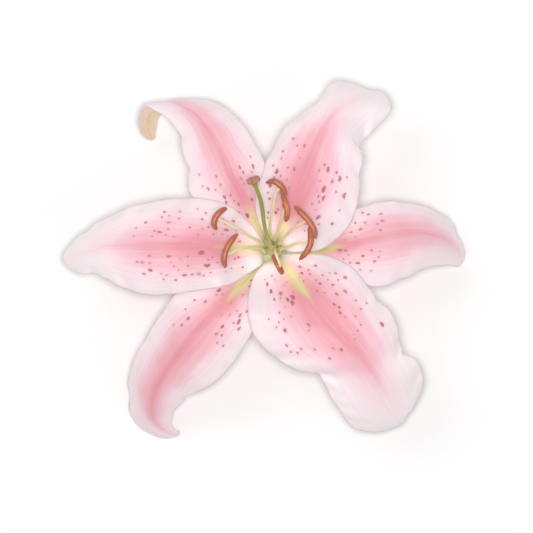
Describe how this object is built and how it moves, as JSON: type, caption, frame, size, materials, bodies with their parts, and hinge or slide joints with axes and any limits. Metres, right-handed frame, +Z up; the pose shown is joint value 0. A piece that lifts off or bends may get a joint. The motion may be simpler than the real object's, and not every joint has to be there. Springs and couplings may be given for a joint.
{
  "type": "lily bloom",
  "caption": "Cut lily bloom lying face up on its recurved sepal tips, with broad pale pink petals over narrower sepals, rust anthers on slim filaments and a long green style.",
  "frame": {"origin": "middle of the bloom's footprint, on the surface that its sepal tips rest on", "axes": "+Z up, the way the bloom faces; +X along its longest side, away from the tip of the left petal; +Y towards the upper petals"},
  "size_m": [0.1832, 0.1622, 0.0838],
  "materials": {
    "petal": "satin",
    "sepal": "satin",
    "stem": "satin",
    "ovary": "satin",
    "style": "satin",
    "stigma": "matte",
    "filament": "satin",
    "anther": "matte"
  },
  "bodies": {
    "root": {"pedicel": "stem", "petal_left": "petal", "petal_upper_right": "petal", "petal_lower_right": "petal", "sepal_upper_left": "sepal", "sepal_right": "sepal", "sepal_lower_left": "sepal", "filament_1": "filament", "filament_2": "filament", "filament_3": "filament", "filament_4": "filament", "filament_5": "filament", "filament_6": "filament", "filament_7": "filament", "anther_1": "anther", "anther_2": "anther", "anther_3": "anther", "anther_4": "anther", "anther_5": "anther", "anther_6": "anther", "anther_7": "anther", "ovary": "ovary", "style": "style", "stigma": "stigma"}
  },
  "joints": []
}
